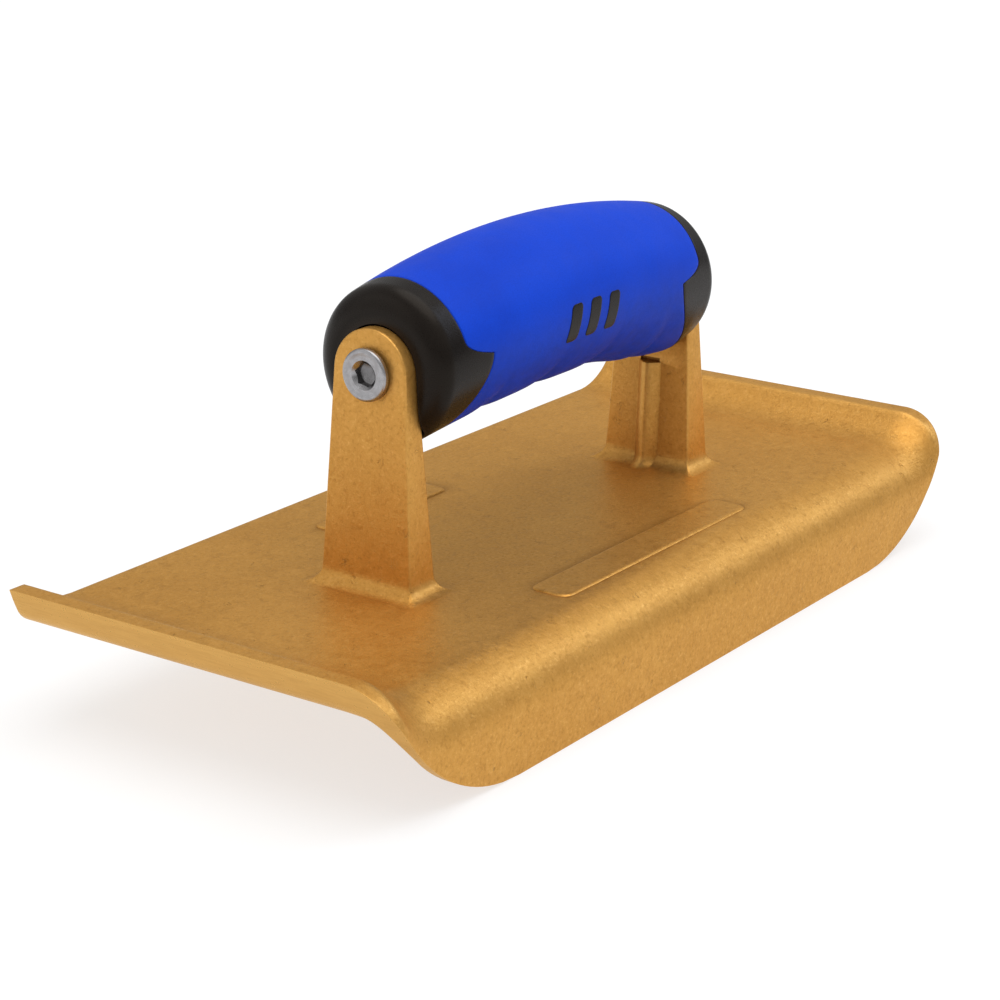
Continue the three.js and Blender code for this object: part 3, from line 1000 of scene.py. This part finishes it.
def plastic_material():
    """Black moulded plastic, scuffed here and there and paler along its worn edges."""
    n = Nodes("black_plastic")
    broad = n.noise(14, 3, 0.5)
    grain = n.noise(0.28, 3, 0.6)
    scuff = n.noise(1.6, 6, 0.75, distortion=1.2, shift=0.04)
    color = n.mix(n.between(broad, 0.3, 0.7), rgb(11, 8, 7), rgb(16, 12, 11))
    color = n.mix(n.between(scuff, 0.60, 0.80, 0.0, 0.3), color, rgb(46, 40, 34))
    worn = n.attribute("worn")
    color = n.mix(n.math("MULTIPLY", worn, 0.3), color, rgb(66, 58, 50))
    rough = n.between(scuff, 0.3, 0.75, 0.25, 0.33)
    rough = n.math("ADD", rough, n.between(grain, 0.3, 0.7, -0.02, 0.05))
    normal = n.bump(grain, 0.035, 0.5)
    normal = n.bump(broad, 0.12, 0.2, normal)
    return n.shader(Base_Color=color, Roughness=rough, Normal=normal, IOR=1.45,
                    Specular_IOR_Level=0.2, Specular_Tint=(1.0, 0.88, 0.76, 1.0))


def turned_material(name, light, dark, rough_low, rough_high):
    """Turned metal: rings about the screws' axis, clouding, and painted shade in its recess."""
    n = Nodes(name)
    apart = n.add("ShaderNodeSeparateXYZ", {0: n.place})
    up = n.math("SUBTRACT", apart.outputs[2], AXIS_Z * MM)
    squares = n.math("ADD", n.math("MULTIPLY", apart.outputs[1], apart.outputs[1]),
                     n.math("MULTIPLY", up, up))
    radius = n.math("SQRT", squares)
    rings_at = n.add("ShaderNodeCombineXYZ", {0: radius, 1: 0.0, 2: 0.0}).outputs[0]
    rings = n.noise(0.16, 3, 0.6, vector=rings_at)
    cloud = n.noise(1.4, 4, 0.6, shift=0.03)
    grain = n.noise(0.2, 2, 0.6)
    color = n.mix(n.between(cloud, 0.3, 0.7, 0.2, 0.6), light, dark)
    color = n.mix(n.between(rings, 0.4, 0.7, 0.0, 0.3), color, dark)
    recess = n.attribute("recess")
    # Painted shade: the socket's recess is darkened.
    color = n.mix(n.math("MULTIPLY", recess, 0.6), color, rgb(60, 56, 54))
    color = n.mix(n.between(grain, 0.62, 0.8, 0.0, 0.5), color, rgb(110, 108, 104))
    rough = n.between(cloud, 0.3, 0.7, rough_low, rough_high)
    rough = n.math("ADD", rough, n.between(rings, 0.3, 0.7, -0.04, 0.04))
    rough = n.math("SUBTRACT", rough, n.math("MULTIPLY", recess, 0.12), clamp=True)
    normal = n.bump(rings, 0.02, 0.5)
    normal = n.bump(grain, 0.02, 0.4, normal)
    return n.shader(Base_Color=color, Metallic=1.0, Roughness=rough, Normal=normal)


# ---- Surface attributes, from the finished shape ------------------------------------------------

def write_attribute(obj, name, values, domain="POINT"):
    attribute = obj.data.attributes.new(name, "FLOAT", domain)
    attribute.data.foreach_set("value", np.asarray(values, np.float32))


def curvature(obj, full):
    """How convex and how hollow the surface is at each vertex: two lists, from 0 to 1 where its
    edges turn by full radians in all."""
    bm = bmesh.new()
    bm.from_mesh(obj.data)
    bm.normal_update()
    bend = np.zeros(len(bm.verts))
    for vertex in bm.verts:
        total = 0.0
        for edge in vertex.link_edges:
            if len(edge.link_faces) == 2:
                total += edge.calc_face_angle_signed(0.0)
        bend[vertex.index] = total
    pairs = np.array([(e.verts[0].index, e.verts[1].index) for e in bm.edges])
    bm.free()
    degree = np.bincount(pairs.ravel(), minlength=len(bend)).clip(1)
    around = np.bincount(pairs[:, 0], bend[pairs[:, 1]], len(bend)) \
        + np.bincount(pairs[:, 1], bend[pairs[:, 0]], len(bend))
    bend = 0.5 * bend + 0.5 * around / degree
    return np.clip(bend / full, 0, 1), np.clip(-bend / full, 0, 1)


def mark_casting(obj):
    """Marks the ground faces, which are the runner-shaped ends with their rounded corners and the
    sole, and then the worn edges and the hollows, which the bronze darkens as painted shade.
    Nothing on the plate is worn except near its edges."""
    mesh = obj.data
    machined = np.zeros(len(mesh.polygons))
    sole = np.zeros(len(mesh.polygons))
    for i, face in enumerate(mesh.polygons):
        middle = face.center
        normal = face.normal
        depth = RUNNER_RADIUS - math.hypot(abs(middle.x) - RUNNER_START, middle.z - RUNNER_Z)
        radial = ((abs(middle.x) - RUNNER_START) * abs(normal.x)
                  + (middle.z - RUNNER_Z) * normal.z)
        near_end = depth < sole_round(middle.y) + 0.1 and abs(middle.x) > RUNNER_START
        on_end = near_end and radial > 0.6 * RUNNER_RADIUS
        on_sole = normal.z < -0.5 and abs(middle.z - sole_lift(middle.x)) < 0.1
        machined[i] = 1.0 if on_end or on_sole else 0.0
        sole[i] = 1.0 if on_sole else 0.0
    write_attribute(obj, "machined", machined, "FACE")
    write_attribute(obj, "sole", sole, "FACE")
    worn, hollow = curvature(obj, full=1.1)
    for vertex in mesh.vertices:
        x, y, z = vertex.co
        if abs(x) < 92 and abs(y) < 42 and z < WALL + 1:
            worn[vertex.index] = 0.0
    write_attribute(obj, "worn", worn)
    # The hollows, which the bronze darkens as painted shade.
    write_attribute(obj, "hollow", hollow)


# ---- Assembly -----------------------------------------------------------------------------------

BRONZE = bronze_material()
RUBBER = rubber_material()
PLASTIC = plastic_material()
ZINC = turned_material("zinc_plate", rgb(176, 175, 177), rgb(140, 138, 140), 0.26, 0.38)
TURNED_BRASS = turned_material("turned_brass", rgb(214, 178, 104), rgb(176, 138, 70), 0.25, 0.4)

body = casting()
smooth(body)
mark_casting(body)
finish_piece(body, BRONZE, "bronze", "edger_casting")

core = grip_core()
smooth(core)
write_attribute(core, "worn", curvature(core, full=1.2)[0])
finish_piece(core, PLASTIC, "black_plastic", "handle_core")

sleeve = grip_sleeve()
smooth(sleeve, 40)
# Painted shade: from 0 high on the grip to 1 low down, where the rubber is darkened.
write_attribute(sleeve, "underside_shade", [smoothstep(-11.0, 13.0, grip_height(v.co.x) - v.co.z)
                                  for v in sleeve.data.vertices])
finish_piece(sleeve, RUBBER, "blue_rubber", "grip_sleeve")

for i, middle in enumerate(GRIP_MARKS):
    mark = grip_mark(f"grip_mark_{i + 1}", middle)
    smooth(mark)
    write_attribute(mark, "worn", [0.0] * len(mark.data.vertices))
    finish_piece(mark, PLASTIC, "black_plastic")

for label, side in (("near", -1), ("far", 1)):
    bolt = screw(f"{label}_screw_detailed", side)
    smooth(bolt, 30)
    # The socket's recess, which the metal darkens as painted shade.
    write_attribute(bolt, "recess", [
        (1 - smoothstep(2.7, 2.95, math.hypot(v.co.y, v.co.z - AXIS_Z)))
        * smoothstep(0.4, 1.2, HEAD_FACE - abs(v.co.x)) for v in bolt.data.vertices])
    finish_piece(bolt, ZINC, "zinc_steel", f"{label}_screw")
    bush = frame["nodes"][f"{label}_insert"]
    bush.data.materials.clear()
    bush.data.materials.append(TURNED_BRASS)


# ---- Floor, light and camera --------------------------------------------------------------------

def floor():
    """A pale floor just under the bit. It glows a little, so that it reads as near white."""
    size = 12.0 / MM
    steps = 24
    points = [((i / steps - 0.5) * size, (j / steps - 0.5) * size, BIT_BOTTOM - 0.05)
              for j in range(steps + 1) for i in range(steps + 1)]
    rows = [list(range(j * (steps + 1), (j + 1) * (steps + 1))) for j in range(steps + 1)]
    obj = mesh_from("floor", points, quad_grid(rows))
    if obj.data.polygons[0].normal.z < 0:
        obj.data.flip_normals()
    n = Nodes("pale_floor")
    soft = n.noise(60, 2, 0.5)
    color = n.mix(n.between(soft, 0.3, 0.7), (0.35, 0.35, 0.35, 1), (0.37, 0.37, 0.37, 1))
    obj.data.materials.append(n.shader(Base_Color=color, Roughness=0.9, Specular_IOR_Level=0.1,
                                       Emission_Color=(1, 1, 1, 1), Emission_Strength=0.66))
    obj.data.transform(Matrix.Scale(MM, 4))


def sun_light(name, direction, spread, strength, color=(1, 1, 1)):
    """A broad distant light from a direction, spread degrees across."""
    data = bpy.data.lights.new(name, "SUN")
    data.color = color
    data.angle = math.radians(spread)
    data.energy = strength
    obj = bpy.data.objects.new(name, data)
    obj.rotation_euler = Vector(direction).to_track_quat("Z", "Y").to_euler()
    bpy.context.scene.collection.objects.link(obj)


def world():
    """Plain white to the camera. As light, it is weaker near the horizon than overhead."""
    made = bpy.data.worlds.new("studio")
    bpy.context.scene.world = made
    made.use_nodes = True
    tree = made.node_tree
    tree.nodes.clear()
    out = tree.nodes.new("ShaderNodeOutputWorld")
    seen = tree.nodes.new("ShaderNodeBackground")
    seen.inputs[0].default_value = (1, 1, 1, 1)
    seen.inputs[1].default_value = 1.0
    lit = tree.nodes.new("ShaderNodeBackground")
    lit.inputs[0].default_value = (1, 1, 1, 1)
    place = tree.nodes.new("ShaderNodeTexCoord")
    apart = tree.nodes.new("ShaderNodeSeparateXYZ")
    fade = tree.nodes.new("ShaderNodeMapRange")
    fade.interpolation_type = "SMOOTHSTEP"
    for key, value in (("From Min", 0.12), ("From Max", 0.62), ("To Min", 0.40), ("To Max", 0.64)):
        fade.inputs[key].default_value = value
    tree.links.new(place.outputs["Generated"], apart.inputs[0])
    tree.links.new(apart.outputs[2], fade.inputs["Value"])
    tree.links.new(fade.outputs["Result"], lit.inputs[1])
    path = tree.nodes.new("ShaderNodeLightPath")
    mix = tree.nodes.new("ShaderNodeMixShader")
    tree.links.new(path.outputs["Is Camera Ray"], mix.inputs[0])
    tree.links.new(lit.outputs[0], mix.inputs[1])
    tree.links.new(seen.outputs[0], mix.inputs[2])
    tree.links.new(mix.outputs[0], out.inputs[0])


def camera():
    """The photograph's viewpoint, solved from edges of the tool in it."""
    data = bpy.data.cameras.new("camera")
    data.sensor_width = 36.0
    data.lens = 95.73
    data.shift_x = 0.0172
    data.shift_y = 0.0011
    data.clip_start, data.clip_end = 0.01, 50
    obj = bpy.data.objects.new("camera", data)
    obj.location = Vector((-475.0, -330.1, 198.2)) * MM
    obj.rotation_euler = (math.radians(90 - 18.286), 0, math.radians(-54.212))
    bpy.context.scene.collection.objects.link(obj)
    bpy.context.scene.camera = obj


COOL = (0.82, 1.0, 1.35)

floor()
world()
camera()
sun_light("top", (0.02, -0.12, 1.0), 60, 1.4)
sun_light("streak", (0.76, -0.44, 0.48), 20, 0.27, COOL)
sun_light("sheen", (0.61, -0.38, 0.69), 16, 0.15, COOL)
sun_light("fill", (-0.78, 0.54, 0.34), 50, 0.27)
bpy.context.scene.view_settings.view_transform = "Standard"
